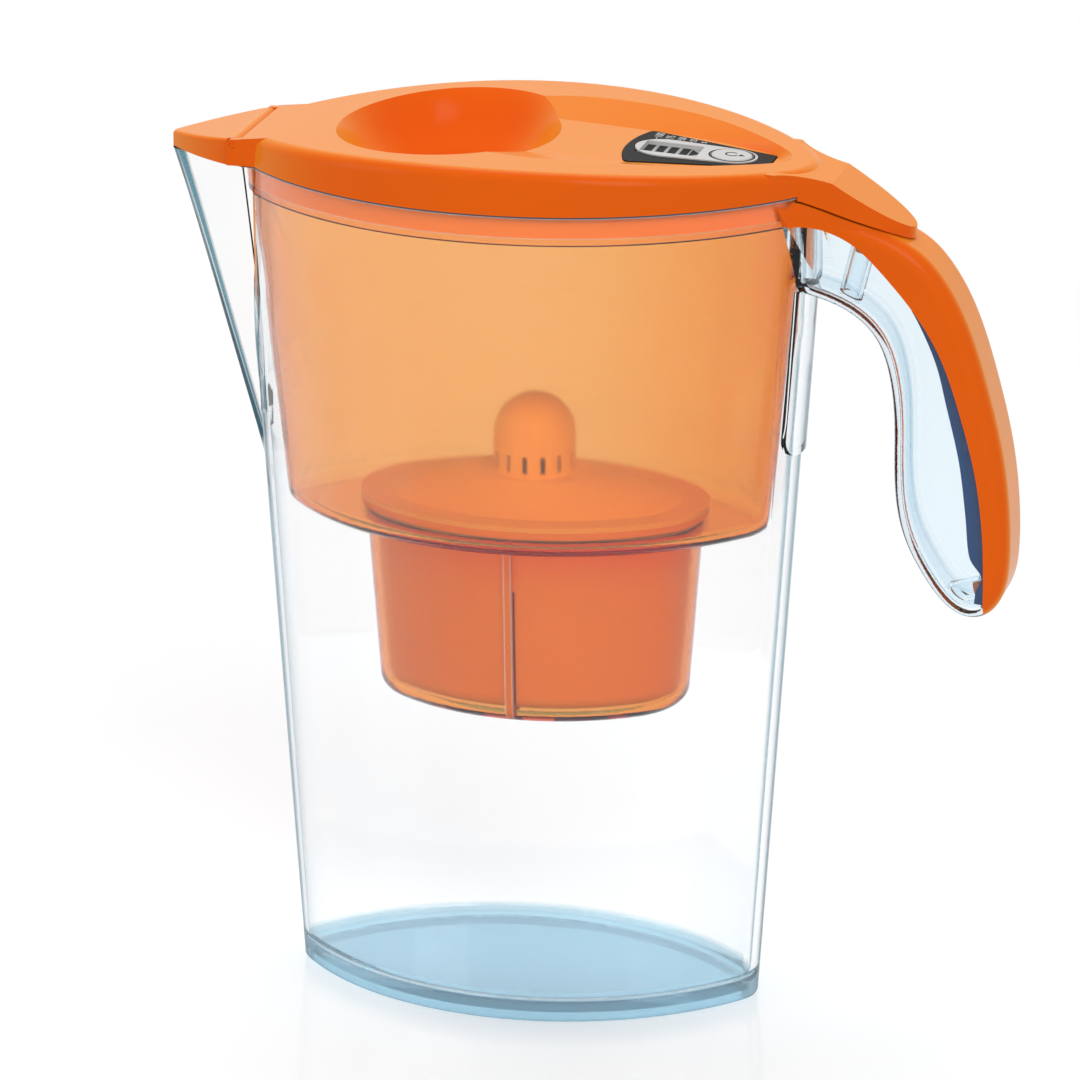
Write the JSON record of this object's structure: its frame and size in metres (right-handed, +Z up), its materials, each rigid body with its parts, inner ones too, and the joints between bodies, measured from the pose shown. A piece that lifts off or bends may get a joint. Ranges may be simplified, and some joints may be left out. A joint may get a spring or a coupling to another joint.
{
  "type": "water filter pitcher",
  "caption": "Slim oval water filter jug with a clear body, tinted drop-in tank and cartridge, hinged-flap lid with filter indicator, and hollow handle.",
  "frame": {"origin": "centre of the jug's foot, on the surface it stands on", "axes": "+Z up, +X from the jug to its handle, -X to its spout, +Y to the back of the picture"},
  "size_m": [0.2396, 0.1048, 0.2499],
  "materials": {
    "clear_plastic": "clear gloss",
    "orange_gloss": "gloss",
    "orange_tint": "translucent orange gloss",
    "orange_satin": "satin",
    "seal_rubber": "matt",
    "filter_screen": "fine mesh",
    "carbon_granules": "granular",
    "resin_beads": "beads",
    "charcoal_plastic": "satin",
    "pale_grey_plastic": "satin",
    "lcd_glass": "polished",
    "contact_rubber": "matt",
    "board_green": "satin",
    "nickel_steel": "brushed"
  },
  "bodies": {
    "jug": {"jug_body": "clear_plastic", "handle_grip": "clear_plastic", "handle_cover": "orange_gloss"},
    "tank": {"hopper": "orange_tint"},
    "cartridge": {"cartridge_cup": "orange_satin", "cartridge_seal": "seal_rubber", "cartridge_cap": "orange_satin", "upper_screen": "filter_screen", "carbon_bed": "carbon_granules", "resin_bed": "resin_beads", "lower_screens": "filter_screen"},
    "lid": {"lid_shell": "orange_gloss", "indicator_bezel": "charcoal_plastic", "indicator_face": "pale_grey_plastic", "lcd_panel": "lcd_glass", "lcd_contact_strips": "contact_rubber", "circuit_board": "board_green", "tact_switch": "charcoal_plastic", "coin_cell": "nickel_steel", "cell_clip": "nickel_steel", "back_cover_seal": "seal_rubber", "back_cover": "charcoal_plastic", "back_cover_screws": "nickel_steel"},
    "spout_flap": {"spout_flap": "orange_gloss"},
    "fill_flap": {"fill_flap": "orange_gloss"},
    "button": {"indicator_button": "pale_grey_plastic"}
  },
  "joints": [
    {"name": "tank_lift", "type": "slide", "parent": "jug", "child": "tank", "axis": [0, 0, 1], "range_m": [0, 0.165]},
    {"name": "cartridge_lift", "type": "slide", "parent": "tank", "child": "cartridge", "axis": [0, 0, 1], "range_m": [0, 0.16]},
    {"name": "lid_lift", "type": "slide", "parent": "cartridge", "child": "lid", "axis": [0, 0, 1], "range_m": [0, 0.06]},
    {"name": "spout_flap_swing", "type": "hinge", "parent": "lid", "child": "spout_flap", "pos_m": [-0.0793, 0, 0.2437], "axis": [0, 1, 0], "range_deg": [0, 60]},
    {"name": "fill_flap_swing", "type": "hinge", "parent": "lid", "child": "fill_flap", "pos_m": [-0.0061, 0, 0.22805], "axis": [0, -1, 0], "range_deg": [0, 70], "stiffness_Nm_per_rad": 0.0012, "springref_deg": -34.38},
    {"name": "button_press", "type": "slide", "parent": "lid", "child": "button", "axis": [-0.0558, 0, -0.9984], "range_m": [0, 0.0007], "stiffness_N_per_m": 600, "springref_m": -0.0008}
  ]
}
